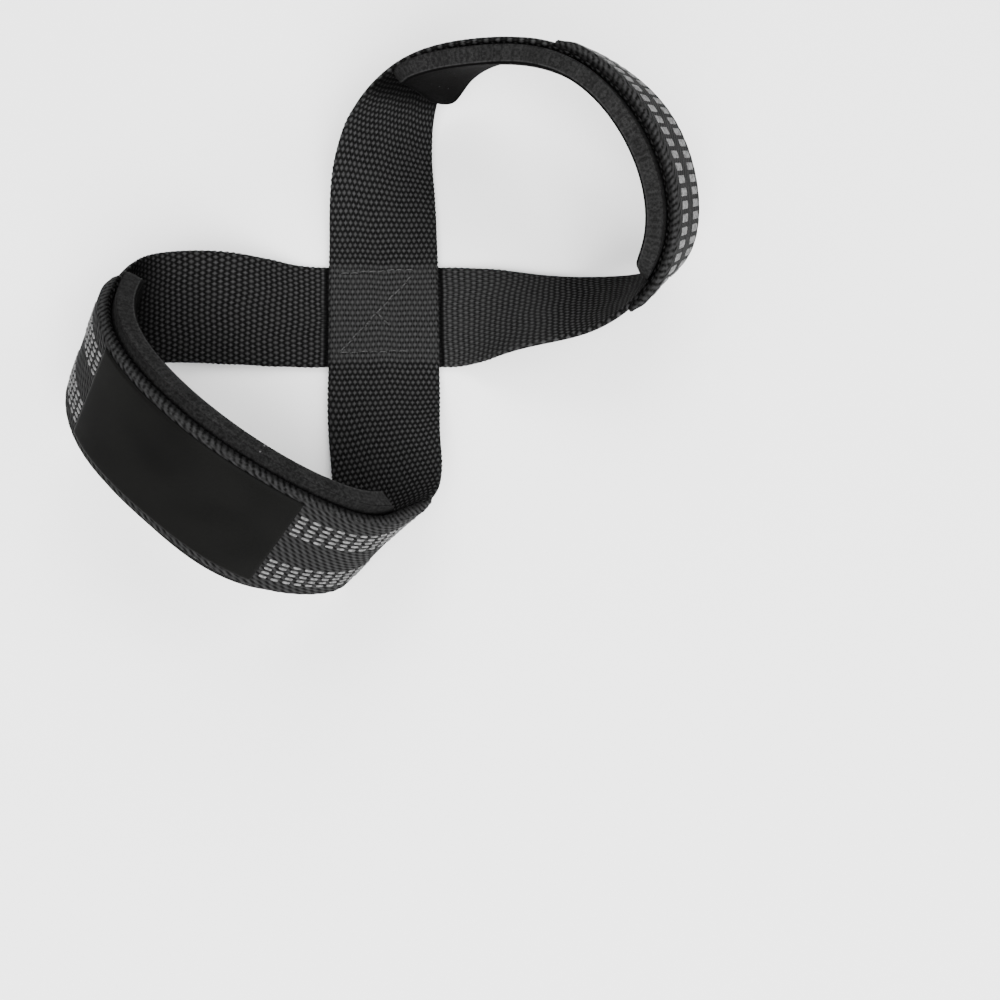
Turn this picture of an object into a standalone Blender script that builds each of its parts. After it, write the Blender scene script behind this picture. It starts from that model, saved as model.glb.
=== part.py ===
"""Figure-eight lifting strap: one band of webbing crosses itself, lies sewn flat at the crossing, and curls up into
two loops. Each loop has a foam-rubber pad on its inner face and a second, grippy webbing on its outer face.

Metres, +Z up. The origin is the middle of the crossing, on the surface that the strap lies on. The upper band of the
crossing runs along Y and the lower one along X. One loop stands over +X+Y, the other over -X-Y.
"""

import bpy
import numpy as np

# Webbing band
WEB_WIDTH = 0.038
WEB_THICK = 0.002
LAYER_GAP = 0.0003
SEWN_MARGIN = 0.003

# Loops: reach of each loop along its band, rise of its lower edge, and the least gap under that edge
LOOP_REACH = 0.100
LOOP_RISE = 0.038
EDGE_LIFT = 0.0005

# Pads on the inner faces
PAD_OVERHANG = 0.0035
PAD_THICK = 0.006
PAD_END_RADIUS = 0.011
PAD_EDGE_RADIUS = 0.0008
UPPER_PAD_LENGTH = 0.154
LOWER_PAD_LENGTH = 0.149

# Grip overlays on the outer faces
OVERLAY_INSET = 0.0004
OVERLAY_THICK = 0.0018
UPPER_OVERLAY_LENGTH = 0.099
LOWER_OVERLAY_LENGTH = 0.154

# Label on the outer face of the lower overlay
LABEL_INSET = 0.0009
LABEL_THICK = 0.0006
LABEL_LENGTH = 0.071

# Chamfer along the edges of the woven pieces and of the label
WOVEN_CHAMFER = 0.0004
LABEL_CHAMFER = 0.00015

# Spacing of the sections along the band, faces across each flat side, and sections on each rounded pad end
SECTION_STEP = 0.005
FACES_ACROSS = 8
END_SECTIONS = 5

# A row for each place along a loop, from the upper band of the crossing round to the lower band. x and y are shares of
# LOOP_REACH, low is the height of the lower edge as a share of LOOP_RISE, turn is the way that the width points in
# plan, from 0 along X to 90 along Y, and dip is how far the width tips down towards the outside, both in degrees.
COLUMNS = ("place", "x", "y", "low", "turn", "dip")
UPPER_LOOP = (
    ("lift", 0.00, 0.41, 0.01, 0, 12),
    ("climb", 0.03, 0.65, 0.06, 14, 36),
    ("bend", 0.14, 0.79, 0.38, 41, 48),
    ("shoulder", 0.38, 0.80, 0.78, 56, 48),
    ("crown", 0.68, 0.67, 0.96, 48, 54),
    ("far shoulder", 0.92, 0.40, 0.85, 52, 52),
    ("far bend", 0.93, 0.05, 0.29, 58, 50),
    ("descent", 0.72, -0.01, 0.05, 75, 35),
    ("landing", 0.47, -0.01, 0.00, 80, 20),
)
LOWER_LOOP = (
    ("lift", 0.00, 0.44, 0.02, 2, 10),
    ("climb", -0.01, 0.68, 0.01, 2, 26),
    ("bend", 0.05, 0.88, 0.13, 32, 57),
    ("shoulder", 0.27, 0.92, 0.67, 40, 45),
    ("crown", 0.60, 0.74, 0.96, 45, 48),
    ("far shoulder", 0.85, 0.44, 0.84, 53, 49),
    ("far bend", 0.87, 0.17, 0.38, 54, 54),
    ("descent", 0.77, 0.06, 0.09, 84, 47),
    ("landing", 0.47, 0.00, 0.00, 87, 16),
)

# Where the middle of each piece lies, as a share of the loop's length
UPPER_PAD_MIDDLE_SHARE = 0.482
LOWER_PAD_MIDDLE_SHARE = 0.4955
UPPER_OVERLAY_MIDDLE_SHARE = 0.589
LOWER_OVERLAY_MIDDLE_SHARE = 0.464
LABEL_MIDDLE_SHARE = 0.487

HALF_WIDTH = WEB_WIDTH / 2
FLAT_HALF = HALF_WIDTH + SEWN_MARGIN
LOWER_BAND_Z = WEB_THICK / 2
UPPER_BAND_Z = LOWER_BAND_Z + WEB_THICK + LAYER_GAP

WEBBING_GREY = (0.030, 0.030, 0.031, 1.0)
PAD_GREY = (0.022, 0.022, 0.023, 1.0)
OVERLAY_GREY = (0.060, 0.060, 0.062, 1.0)
LABEL_BLACK = (0.012, 0.012, 0.012, 1.0)


def clear_scene():
    for obj in list(bpy.data.objects):
        bpy.data.objects.remove(obj, do_unlink=True)


def material(name, colour, roughness):
    made = bpy.data.materials.new(name)
    made.use_nodes = True
    shader = made.node_tree.nodes["Principled BSDF"]
    shader.inputs["Base Color"].default_value = colour
    shader.inputs["Roughness"].default_value = roughness
    shader.inputs["Metallic"].default_value = 0.0
    return made


def clamped_spline(knots, values, slopes, at):
    """A cubic through the values with the given slopes at its two ends: its values and slopes at each place of at."""
    gaps = np.diff(knots)
    count = len(knots)
    system = np.eye(count)
    right = np.array(values, float)
    right[0], right[-1] = slopes
    steps = np.diff(values) / gaps
    for i in range(1, count - 1):
        system[i, i - 1 : i + 2] = gaps[i], 2 * (gaps[i - 1] + gaps[i]), gaps[i - 1]
        right[i] = 3 * (gaps[i] * steps[i - 1] + gaps[i - 1] * steps[i])
    slope = np.linalg.solve(system, right)
    i = np.clip(np.searchsorted(knots, at, side="right") - 1, 0, count - 2)
    gap = gaps[i]
    t = (at - knots[i]) / gap
    a, b = values[i], values[i + 1]
    c, d = slope[i] * gap, slope[i + 1] * gap
    place = a * (1 + 2 * t) * (1 - t) ** 2 + b * t**2 * (3 - 2 * t) + c * t * (1 - t) ** 2 - d * t**2 * (1 - t)
    rate = (6 * t * (1 - t) * (b - a) + c * (1 - t) * (1 - 3 * t) + d * t * (3 * t - 2)) / gap
    return place, rate


def unit(vectors):
    return vectors / np.linalg.norm(vectors, axis=1)[:, None]


class Path:
    """A line along the middle of the band: its points, the way across the width, the way to the inner face, and the
    length from its start to each point."""

    def __init__(self, points, across, inner):
        self.points, self.across, self.inner = points, across, inner
        steps = np.linalg.norm(np.diff(points, axis=0), axis=1)
        self.along = np.concatenate([[0.0], np.cumsum(steps)])
        self.length = self.along[-1]

    def at(self, s):
        """Points, across and inner directions at the lengths s."""
        found = []
        for rows in (self.points, self.across, self.inner):
            found.append(np.stack([np.interp(s, self.along, rows[:, k]) for k in range(3)], axis=1))
        return found[0], unit(found[1]), unit(found[2])


def loop_path(table, samples=600):
    """One loop over +X+Y, from the middle of the crossing along +Y on the upper band, round, and back along -X on the
    lower band."""
    rows = [dict(zip(COLUMNS, row)) for row in table]
    lean = np.radians([row["dip"] for row in rows])
    low = np.array([row["low"] for row in rows]) * LOOP_RISE
    knots = np.zeros((len(rows) + 2, 5))
    knots[1:-1, 0] = [row["x"] * LOOP_REACH for row in rows]
    knots[1:-1, 1] = [row["y"] * LOOP_REACH for row in rows]
    knots[1:-1, 2] = LOWER_BAND_Z + EDGE_LIFT + low + HALF_WIDTH * np.sin(lean)
    knots[1:-1, 3] = np.radians([row["turn"] for row in rows])
    knots[1:-1, 4] = lean
    knots[0] = (0, FLAT_HALF, UPPER_BAND_Z, 0, 0)
    knots[-1] = (FLAT_HALF, 0, LOWER_BAND_Z, np.pi / 2, 0)
    chord = np.linalg.norm(np.diff(knots[:, :3], axis=0), axis=1)
    u = np.concatenate([[0.0], np.cumsum(chord)])
    at = np.linspace(0, u[-1], samples)
    ends = ((0, -1), (1, 0), (0, 0), (0, 0), (0, 0))
    curves = [clamped_spline(u, knots[:, k], ends[k], at) for k in range(5)]
    points = np.stack([curves[k][0] for k in range(3)], axis=1)
    heading = unit(np.stack([curves[k][1] for k in range(3)], axis=1))
    turn, dip = curves[3][0], curves[4][0]
    wanted = np.stack([np.cos(turn) * np.cos(dip), np.sin(turn) * np.cos(dip), -np.sin(dip)], axis=1)
    across = unit(wanted - (wanted * heading).sum(axis=1)[:, None] * heading)
    inner = np.cross(across, heading)
    start, end = np.array([[0, 0, UPPER_BAND_Z]]), np.array([[0, 0, LOWER_BAND_Z]])
    return Path(
        np.vstack([start, points, end]),
        np.vstack([across[:1], across, across[-1:]]),
        np.vstack([inner[:1], inner, inner[-1:]]),
    )


def half_turn(path):
    """The same path turned half a turn about Z."""
    way = np.array([-1.0, -1.0, 1.0])
    return Path(path.points * way, path.across * way, path.inner * way)


def shared_places(path):
    """Lengths along a loop where every piece on it has a section, so that the pieces keep the same facets and the same
    gaps."""
    curved = path.length - 2 * FLAT_HALF
    steps = max(2, int(round(curved / SECTION_STEP)))
    return np.concatenate([[0.0], FLAT_HALF + np.linspace(0, curved, steps + 1), [path.length]])


def places_between(path, start, end):
    places = shared_places(path)
    return places[(places > start + SECTION_STEP / 4) & (places < end - SECTION_STEP / 4)]


def chamfered(half, low, high, cut):
    """A rectangle across the band from -half to half and from low to high off its middle, with cut corners and its
    flat sides divided into FACES_ACROSS parts."""
    x = np.linspace(-half + cut, half - cut, FACES_ACROSS + 1)
    low_side = np.stack([x, np.full_like(x, low)], axis=1)
    high_side = np.stack([x[::-1], np.full_like(x, high)], axis=1)
    right_side = [(half, low + cut), (half, high - cut)]
    left_side = [(-half, high - cut), (-half, low + cut)]
    return np.vstack([low_side, right_side, high_side, left_side])


def place_sections(path, s, sections):
    """The section's points (across, towards the inner face), or a section for each place, carried to the places s."""
    points, across, inner = path.at(s)
    return points[:, None] + sections[..., :1] * across[:, None] + sections[..., 1:] * inner[:, None]


def skin(name, rings, look, closed):
    """A mesh object through the rings, joined end to end when closed and capped at both ends when not."""
    count, around = rings.shape[:2]
    last = count if closed else count - 1
    i, j = np.meshgrid(np.arange(last), np.arange(around), indexing="ij")
    ahead, beside = (i + 1) % count, (j + 1) % around
    corners = [i * around + j, ahead * around + j, ahead * around + beside, i * around + beside]
    faces = np.stack(corners, axis=-1).reshape(-1, 4).tolist()
    if not closed:
        faces.append(list(range(around)))
        faces.append([(count - 1) * around + j for j in range(around)][::-1])
    mesh = bpy.data.meshes.new(name)
    mesh.from_pydata(rings.reshape(-1, 3).tolist(), [], faces)
    mesh.validate()
    mesh.shade_smooth()
    mesh.set_sharp_from_angle(angle=np.radians(30))
    mesh.materials.append(look)
    obj = bpy.data.objects.new(name, mesh)
    bpy.context.collection.objects.link(obj)
    return obj


def make_webbing(first, second, look):
    """The closed band: out along the first loop from the upper layer of the crossing, back under it, and round the
    second loop the other way."""
    section = chamfered(HALF_WIDTH, -WEB_THICK / 2, WEB_THICK / 2, WOVEN_CHAMFER)
    back = Path(second.points[::-1], -second.across[::-1], second.inner[::-1])
    out_rings = place_sections(first, shared_places(first), section)
    back_rings = place_sections(back, shared_places(back)[1:-1], section)
    return skin("webbing", np.concatenate([out_rings, back_rings]), look, closed=True)


def make_strip(name, path, middle, length, half, low, high, cut, look):
    """A straight-ended strip laid along the path between two distances off the band's middle."""
    start = middle * path.length - length / 2
    end = start + length
    s = np.concatenate([[start], places_between(path, start, end), [end]])
    return skin(name, place_sections(path, s, chamfered(half, low, high, cut)), look, closed=False)


def make_pad(name, path, middle, length, look):
    """A pad with round corners in plan: near its ends the half width follows a quarter circle."""
    start = middle * path.length - length / 2
    end = start + length
    half = HALF_WIDTH + PAD_OVERHANG
    into_end = PAD_END_RADIUS * (1 - np.cos(np.linspace(0, np.pi / 2, END_SECTIONS + 1)))
    between = places_between(path, start + PAD_END_RADIUS, end - PAD_END_RADIUS)
    s = np.concatenate([start + into_end, between, end - into_end[::-1]])
    from_end = np.minimum(s - start, end - s)
    inside = np.clip(PAD_END_RADIUS - from_end, 0, PAD_END_RADIUS)
    widths = half - PAD_END_RADIUS + np.sqrt(PAD_END_RADIUS**2 - inside**2)
    low = WEB_THICK / 2 + LAYER_GAP
    sections = np.stack([chamfered(w, low, low + PAD_THICK, PAD_EDGE_RADIUS) for w in widths])
    return skin(name, place_sections(path, s, sections), look, closed=False)


def main():
    clear_scene()
    webbing_look = material("webbing_black", WEBBING_GREY, 0.85)
    pad_look = material("pad_rubber", PAD_GREY, 0.9)
    overlay_look = material("overlay_charcoal", OVERLAY_GREY, 0.8)
    label_look = material("label_satin", LABEL_BLACK, 0.5)

    upper = loop_path(UPPER_LOOP)
    lower = half_turn(loop_path(LOWER_LOOP))
    make_webbing(upper, lower, webbing_look)

    make_pad("pad_upper", upper, UPPER_PAD_MIDDLE_SHARE, UPPER_PAD_LENGTH, pad_look)
    make_pad("pad_lower", lower, LOWER_PAD_MIDDLE_SHARE, LOWER_PAD_LENGTH, pad_look)

    overlay_half = HALF_WIDTH - OVERLAY_INSET
    overlay_high = -WEB_THICK / 2 - LAYER_GAP
    overlay_low = overlay_high - OVERLAY_THICK
    for name, path, middle, length in (
        ("grip_overlay_upper", upper, UPPER_OVERLAY_MIDDLE_SHARE, UPPER_OVERLAY_LENGTH),
        ("grip_overlay_lower", lower, LOWER_OVERLAY_MIDDLE_SHARE, LOWER_OVERLAY_LENGTH),
    ):
        make_strip(
            name, path, middle, length, overlay_half, overlay_low, overlay_high, WOVEN_CHAMFER, overlay_look
        )

    label_high = overlay_low - LAYER_GAP
    make_strip(
        "label_patch",
        lower,
        LABEL_MIDDLE_SHARE,
        LABEL_LENGTH,
        overlay_half - LABEL_INSET,
        label_high - LABEL_THICK,
        label_high,
        LABEL_CHAMFER,
        label_look,
    )


main()
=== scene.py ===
import bpy
import numpy as np
from mathutils import Matrix, Vector


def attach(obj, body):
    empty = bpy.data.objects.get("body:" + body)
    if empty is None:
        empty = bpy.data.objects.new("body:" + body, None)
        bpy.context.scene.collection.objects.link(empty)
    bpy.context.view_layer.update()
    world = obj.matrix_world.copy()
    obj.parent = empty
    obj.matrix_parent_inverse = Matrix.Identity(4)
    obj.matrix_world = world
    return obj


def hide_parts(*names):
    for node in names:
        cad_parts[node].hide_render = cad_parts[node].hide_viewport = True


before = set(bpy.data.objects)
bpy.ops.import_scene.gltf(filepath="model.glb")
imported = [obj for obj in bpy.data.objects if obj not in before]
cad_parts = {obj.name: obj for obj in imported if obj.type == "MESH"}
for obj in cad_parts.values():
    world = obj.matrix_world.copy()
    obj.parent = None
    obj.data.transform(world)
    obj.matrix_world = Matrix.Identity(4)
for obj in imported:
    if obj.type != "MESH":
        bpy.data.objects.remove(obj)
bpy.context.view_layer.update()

# The webbing band: one length of black plain-weave webbing, its ends joined into a ring and laid as a figure
# eight that is sewn flat where it crosses itself. The other pieces are fixed along it. It is woven in two
# lengths here, which meet at the far side of each loop, between the pad and the overlay.
WEB_WIDTH = 0.038
WEB_THICK = 0.002
LAYER_GAP = 0.0003
SEWN_HALF = 0.022
LOOP_REACH = 0.100
LOOP_RISE = 0.038
EDGE_LIFT = 0.0005
LOW_BAND_Z = WEB_THICK / 2
HIGH_BAND_Z = LOW_BAND_Z + WEB_THICK + LAYER_GAP
LINE_SAMPLES = 2400

# A row for each place along a loop, from the upper band of the crossing to the lower one: x and y as shares
# of the reach, the lower edge's height as a share of the rise, and the width's turn and dip in degrees.
LOOP_COLUMNS = ("place", "x", "y", "low", "turn", "dip")
UPPER_LOOP = (
    ("lift", 0.00, 0.41, 0.01, 0, 12),
    ("climb", 0.03, 0.65, 0.06, 14, 36),
    ("bend", 0.14, 0.79, 0.38, 41, 48),
    ("shoulder", 0.38, 0.80, 0.78, 56, 48),
    ("crown", 0.68, 0.67, 0.96, 48, 54),
    ("far shoulder", 0.92, 0.40, 0.85, 52, 52),
    ("far bend", 0.93, 0.05, 0.29, 58, 50),
    ("descent", 0.72, -0.01, 0.05, 75, 35),
    ("landing", 0.47, -0.01, 0.00, 80, 20),
)
LOWER_LOOP = (
    ("lift", 0.00, 0.44, 0.02, 2, 10),
    ("climb", -0.01, 0.68, 0.01, 2, 26),
    ("bend", 0.05, 0.88, 0.13, 32, 57),
    ("shoulder", 0.27, 0.92, 0.67, 40, 45),
    ("crown", 0.60, 0.74, 0.96, 45, 48),
    ("far shoulder", 0.85, 0.44, 0.84, 53, 49),
    ("far bend", 0.87, 0.17, 0.38, 54, 54),
    ("descent", 0.77, 0.06, 0.09, 84, 47),
    ("landing", 0.47, 0.00, 0.00, 87, 16),
)


def unit(vectors):
    return vectors / np.linalg.norm(vectors, axis=-1, keepdims=True)


def smooth_step(low, high, value):
    """0 below low, 1 above high, and 3t^2 - 2t^3 between them."""
    t = np.clip((value - low) / (high - low), 0, 1)
    return t * t * (3 - 2 * t)


def clamped_spline(knots, values, slopes, at):
    """The cubic through the values, with given slopes at both ends: its values and slopes at each place."""
    gaps = np.diff(knots)
    steps = np.diff(values) / gaps
    system = np.eye(len(knots))
    right = np.array(values, float)
    right[0], right[-1] = slopes
    for i in range(1, len(knots) - 1):
        system[i, i - 1 : i + 2] = gaps[i], 2 * (gaps[i - 1] + gaps[i]), gaps[i - 1]
        right[i] = 3 * (gaps[i] * steps[i - 1] + gaps[i - 1] * steps[i])
    slope = np.linalg.solve(system, right)
    i = np.clip(np.searchsorted(knots, at, side="right") - 1, 0, len(knots) - 2)
    t = (at - knots[i]) / gaps[i]
    a, b, c, d = values[i], values[i + 1], slope[i] * gaps[i], slope[i + 1] * gaps[i]
    place = (
        a * (1 + 2 * t) * (1 - t) ** 2
        + b * t**2 * (3 - 2 * t)
        + c * t * (1 - t) ** 2
        - d * t**2 * (1 - t)
    )
    rate = (6 * t * (1 - t) * (b - a) + c * (1 - t) * (1 - 3 * t) + d * t * (3 * t - 2)) / gaps[i]
    return place, rate


def loop_line(table):
    """One loop over +X+Y: points of its middle line, the way across the width, and the way to its inner
    face. The way across is the turned and dipped direction made square to the line, and the inner way is
    across x along."""
    rows = [dict(zip(LOOP_COLUMNS, row)) for row in table]
    dip = np.radians([row["dip"] for row in rows])
    knots = np.zeros((len(rows) + 2, 5))
    knots[1:-1, 0] = [row["x"] * LOOP_REACH for row in rows]
    knots[1:-1, 1] = [row["y"] * LOOP_REACH for row in rows]
    lower_edge = EDGE_LIFT + np.array([row["low"] for row in rows]) * LOOP_RISE
    knots[1:-1, 2] = LOW_BAND_Z + lower_edge + WEB_WIDTH / 2 * np.sin(dip)
    knots[1:-1, 3] = np.radians([row["turn"] for row in rows])
    knots[1:-1, 4] = dip
    knots[0] = (0, SEWN_HALF, HIGH_BAND_Z, 0, 0)
    knots[-1] = (SEWN_HALF, 0, LOW_BAND_Z, np.pi / 2, 0)
    u = np.concatenate([[0.0], np.cumsum(np.linalg.norm(np.diff(knots[:, :3], axis=0), axis=1))])
    # It leaves the crossing along +Y and comes back along -X, level and without a twist.
    slopes = ((0, -1), (1, 0), (0, 0), (0, 0), (0, 0))
    at = np.linspace(0, u[-1], LINE_SAMPLES)
    columns = [clamped_spline(u, knots[:, k], slopes[k], at) for k in range(len(slopes))]
    place, rate = np.moveaxis(columns, 0, -1)
    turn, dip = place[:, 3], place[:, 4]
    heading = unit(rate[:, :3])
    wanted = np.stack([np.cos(turn) * np.cos(dip), np.sin(turn) * np.cos(dip), -np.sin(dip)], axis=-1)
    across = unit(wanted - (wanted * heading).sum(axis=-1, keepdims=True) * heading)
    points = np.vstack([[0, 0, HIGH_BAND_Z], place[:, :3], [0, 0, LOW_BAND_Z]])
    across = np.vstack([across[:1], across, across[-1:]])
    heading = np.vstack([heading[:1], heading, heading[-1:]])
    return points, across, np.cross(across, heading)


def line_length(points):
    return np.linalg.norm(np.diff(points, axis=0), axis=1).sum()


# The closed line: out along the upper loop, back under the crossing, and round the lower loop, which is the
# second table turned half a turn about Z and run the other way.
upper_points, upper_across, upper_inner = loop_line(UPPER_LOOP)
lower_points, lower_across, lower_inner = [rows * (-1, -1, 1) for rows in loop_line(LOWER_LOOP)]
band_points = np.vstack([upper_points, lower_points[::-1][1:]])
band_across = np.vstack([upper_across, -lower_across[::-1][1:]])
band_inner = np.vstack([upper_inner, lower_inner[::-1][1:]])
band_along = np.concatenate([[0.0], np.cumsum(np.linalg.norm(np.diff(band_points, axis=0), axis=1))])
UPPER_LENGTH = line_length(upper_points)
LOWER_LENGTH = line_length(lower_points)
BAND_LENGTH = UPPER_LENGTH + LOWER_LENGTH


def on_band(along, across, height):
    """The point at a length along the closed band, a way across it, and a height off its middle towards the
    inner face: middle line + across x its width direction + height x its inner direction."""
    found = []
    for rows in (band_points, band_across, band_inner):
        at_length = [np.interp(along % BAND_LENGTH, band_along, rows[:, k]) for k in range(3)]
        found.append(np.stack(at_length, axis=-1))
    beside = found[0] + np.expand_dims(across, -1) * unit(found[1])
    return beside + np.expand_dims(height, -1) * unit(found[2])


# How the yarns wander from straight lines, in metres: a sine's size, the lengths across and along the cloth
# over which its angle grows by 1, and how much a slower sine along the cloth adds to that angle, with its
# own length.
WARP_WANDER = (
    ("swaying", 0.00010, np.inf, 0.0047, 3, 0.021),
    ("slanting", 0.00008, 0.0031, 0.011, 0, 1),
)
WEFT_WANDER = (
    ("swaying", 0.00020, 0.0043, np.inf, 2, 0.017),
    ("slanting", 0.00014, 0.0019, 0.009, 0, 1),
)


def wander(table, across, along):
    """The sum of size x sin(across / its length + along / its length + sway x sin(along / sway length))."""
    shift = 0
    for _, size, per_across, per_along, sway, per_sway in table:
        angle = across / per_across + along / per_along + sway * np.sin(along / per_sway)
        shift = shift + size * np.sin(angle)
    return shift


def drift(across, along):
    """Both coordinates with the yarns' wander added."""
    return across + wander(WARP_WANDER, across, along), along + wander(WEFT_WANDER, across, along)


def quad_object(name, points, quads, look, cloth=None, mark=None):
    """A mesh object of four-sided faces, with the cloth's own (across, along) as its UV map in metres, and a
    mark at each point that the material reads."""
    mesh = bpy.data.meshes.new(name)
    mesh.vertices.add(len(points))
    mesh.vertices.foreach_set("co", np.asarray(points, np.float32).ravel())
    mesh.loops.add(quads.size)
    mesh.loops.foreach_set("vertex_index", quads.astype(np.int32).ravel())
    mesh.polygons.add(len(quads))
    mesh.polygons.foreach_set("loop_start", np.arange(0, quads.size, 4, dtype=np.int32))
    mesh.update(calc_edges=True)
    if cloth is not None:
        layer = mesh.uv_layers.new(name="cloth")
        layer.data.foreach_set("uv", np.asarray(cloth, np.float32)[quads.ravel()].ravel())
    if mark is not None:
        mesh.attributes.new("mark", "FLOAT", "POINT").data.foreach_set("value", np.asarray(mark, np.float32))
    mesh.validate()
    mesh.shade_smooth()
    mesh.materials.append(look)
    made = bpy.data.objects.new(name, mesh)
    bpy.context.scene.collection.objects.link(made)
    return made


# Added to a way before it is made one long, so that a way of no length doesn't divide by nothing.
TINY = 1e-12


def slab(name, along, across, high, low, wall, look, mark=0.0, low_mark=None, cloth_across=None):
    """A closed slab on the band, over a grid of (along, across). Its two faces lie at the heights high and
    low, and its wall goes down from one to the other in loops, each a share of the way down, pushed out, and
    with a mark. The low face has the high one's mark unless it is given its own. The cloth's coordinates run
    on over the wall to its middle and back. Its across is longer than the plan's where the cloth slopes."""
    rows, columns = along.shape
    index = np.arange(rows * columns).reshape(rows, columns)
    loop = np.concatenate([index[0, :-1], index[:-1, -1], index[-1, :0:-1], index[:0:-1, 0]])
    plan = np.stack([along.ravel()[loop], across.ravel()[loop]], axis=-1)
    way = np.roll(plan, -1, axis=0) - np.roll(plan, 1, axis=0)
    out = unit(np.stack([-way[:, 1], way[:, 0]], axis=-1) + TINY)
    top, bottom = high.ravel()[loop], low.ravel()[loop]
    flat = [np.stack([along.ravel(), across.ravel(), face.ravel()], axis=-1) for face in (high, low)]
    cloth_plan = np.column_stack([along.ravel(), (across if cloth_across is None else cloth_across).ravel()])
    cloth = [cloth_plan, cloth_plan]
    face_marks = (mark, mark if low_mark is None else low_mark)
    marks = [np.broadcast_to(face_mark, along.shape).ravel() for face_mark in face_marks]
    for share, push, wall_mark in wall:
        push = push(plan[:, 0]) if callable(push) else push
        pushed = plan + out * np.reshape(push, (-1, 1))
        flat.append(np.column_stack([pushed, top + (bottom - top) * share]))
        cloth.append(cloth_plan[loop] + out * (np.abs(top - bottom) * min(share, 1 - share))[:, None])
        marks.append(np.full(len(loop), float(wall_mark)))
    flat, cloth = np.vstack(flat), np.vstack(cloth)
    cloth = np.column_stack(drift(cloth[:, 1], cloth[:, 0]))
    a, b, c, d = index[:-1, :-1], index[:-1, 1:], index[1:, 1:], index[1:, :-1]
    face = np.stack([a, b, c, d], axis=-1).reshape(-1, 4)
    quads = [face, face[:, ::-1] + index.size]
    first = 2 * index.size
    wall_loops = [first + k * len(loop) + np.arange(len(loop)) for k in range(len(wall))]
    steps = [loop] + wall_loops + [loop + index.size]
    for upper, lower in zip(steps, steps[1:]):
        quads.append(np.stack([upper, lower, np.roll(lower, -1), np.roll(upper, -1)], axis=-1))
    points = on_band(flat[:, 0], flat[:, 1], flat[:, 2])
    return quad_object(name, points, np.vstack(quads), look, cloth=cloth, mark=np.concatenate(marks))


def edge_round(distance, radius):
    """How far a face has dropped at a distance from its edge, where a quarter circle rounds the edge off."""
    inside = np.clip(radius - distance, 0, radius)
    return radius - np.sqrt(radius**2 - inside**2)


# The weave: warp floats side by side across the width, every second row of them half a pitch over.
WARP_PITCH = 0.00177
WEFT_PITCH = 0.00197
WEAVE_HEIGHT = 0.00014
SELVEDGE_LOOP = 0.00050
SELVEDGE_ROUND = 0.0008
SELVEDGE_DROP = 0.8
SELVEDGE_SWAY = 0.0031
SELVEDGE_SLOW_SWAY = 0.0117


def plain_weave(across, along):
    """1 on the crown of a float and 0 in the gaps round it: (1 + cos(2 pi across / warp) sign(row)) / 2
    times |row|, where row = cos(pi along / weft)."""
    row = np.cos(np.pi * along / WEFT_PITCH)
    return (0.5 + 0.5 * np.cos(2 * np.pi * across / WARP_PITCH) * np.sign(row)) * np.abs(row)


def selvedge(along):
    """How far the yarns stand out at the edge: loop x (1/4 + bulge x (1/2 + slow / 4)), with a bulge for
    each row, and a slow sine that makes them larger and smaller."""
    bulge = 0.5 + 0.5 * np.cos(2 * np.pi * along / WEFT_PITCH)
    slow = np.sin(along / SELVEDGE_SWAY + 2 * np.sin(along / SELVEDGE_SLOW_SWAY))
    return SELVEDGE_LOOP * (0.25 + bulge * (0.5 + 0.25 * slow))


def selvedge_wall(mark):
    """Three loops of yarn down the edge, all with the same mark."""
    return [(share, selvedge, mark) for share in (0.25, 0.5, 0.75)]


def node_input(tree, socket, value):
    if isinstance(value, bpy.types.NodeSocket):
        tree.links.new(value, socket)
    else:
        socket.default_value = value


def calc(tree, operation, *values):
    """A Math node on these numbers or sockets, and its result."""
    node = tree.nodes.new("ShaderNodeMath")
    node.operation = operation
    for socket, value in zip(node.inputs, values):
        node_input(tree, socket, value)
    return node.outputs[0]


def fade(tree, value, low, high, to_low=0.0, to_high=1.0):
    """A Map Range node with a smooth step."""
    node = tree.nodes.new("ShaderNodeMapRange")
    node.interpolation_type = "SMOOTHSTEP"
    for socket, given in zip(node.inputs, (value, low, high, to_low, to_high)):
        node_input(tree, socket, given)
    return node.outputs[0]


def blend(tree, share, first, second):
    """A colour mix: the first where the share is 0, the second where it is 1."""
    node = tree.nodes.new("ShaderNodeMix")
    node.data_type = "RGBA"
    node_input(tree, node.inputs["Factor"], share)
    node_input(tree, node.inputs["A"], first)
    node_input(tree, node.inputs["B"], second)
    return node.outputs["Result"]


def cloth_place(tree):
    """The cloth's own place in metres: across, along."""
    node = tree.nodes.new("ShaderNodeUVMap")
    node.uv_map = "cloth"
    split = tree.nodes.new("ShaderNodeSeparateXYZ")
    tree.links.new(node.outputs[0], split.inputs[0])
    return split.outputs[0], split.outputs[1]


def grain(tree, across, along, across_size, along_size, detail=3.0):
    """Noise from 0 to 1 whose blots have these sizes in metres across and along the cloth."""
    place = tree.nodes.new("ShaderNodeCombineXYZ")
    node_input(tree, place.inputs[0], calc(tree, "DIVIDE", across, across_size))
    node_input(tree, place.inputs[1], calc(tree, "DIVIDE", along, along_size))
    noise = tree.nodes.new("ShaderNodeTexNoise")
    noise.inputs["Scale"].default_value = 1.0
    noise.inputs["Detail"].default_value = detail
    tree.links.new(place.outputs[0], noise.inputs["Vector"])
    return noise.outputs[0]


def wave(tree, place, pitch):
    """cos(2 pi place / pitch)"""
    angle = calc(tree, "MULTIPLY_ADD", place, 2 * np.pi / pitch, 0.0)
    return calc(tree, "COSINE", angle)


def marked(tree):
    """The piece's own mark, from -1 to 1."""
    node = tree.nodes.new("ShaderNodeAttribute")
    node.attribute_name = "mark"
    return node.outputs["Fac"]


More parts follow.
